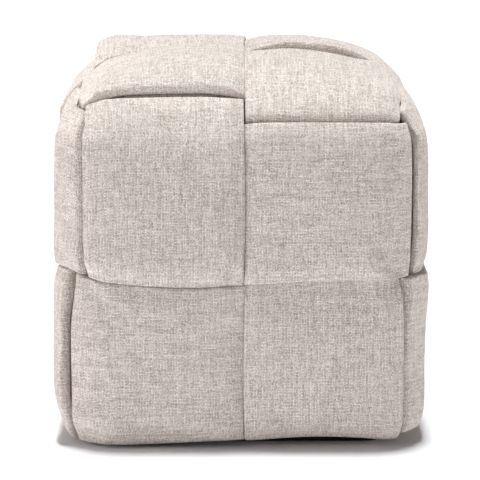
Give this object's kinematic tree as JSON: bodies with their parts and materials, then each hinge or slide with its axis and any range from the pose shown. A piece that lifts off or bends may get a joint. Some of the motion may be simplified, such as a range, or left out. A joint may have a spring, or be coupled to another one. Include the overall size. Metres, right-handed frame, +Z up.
{
  "type": "cube pouf stool",
  "caption": "Upholstered cube pouf stool of wide padded straps woven over a foam cube, standing on a flat base panel; a seat, footrest or side perch.",
  "frame": {"origin": "middle of the base panel's underside, on the floor", "axes": "+Z up, front towards -Y, +X to the right seen from the front"},
  "size_m": [0.4306, 0.4306, 0.4481],
  "materials": {
    "strap_cloth": "matte chunky linen-look weave with pale slubs",
    "core_cloth": "matte plain cloth over foam",
    "base_cloth": "matte dark dust cloth"
  },
  "bodies": {
    "root": {"strap_over_left": "strap_cloth", "strap_over_right": "strap_cloth", "strap_across_front": "strap_cloth", "strap_across_back": "strap_cloth", "strap_ring_lower": "strap_cloth", "strap_ring_upper": "strap_cloth", "core": "core_cloth", "base_panel": "base_cloth"}
  },
  "joints": []
}
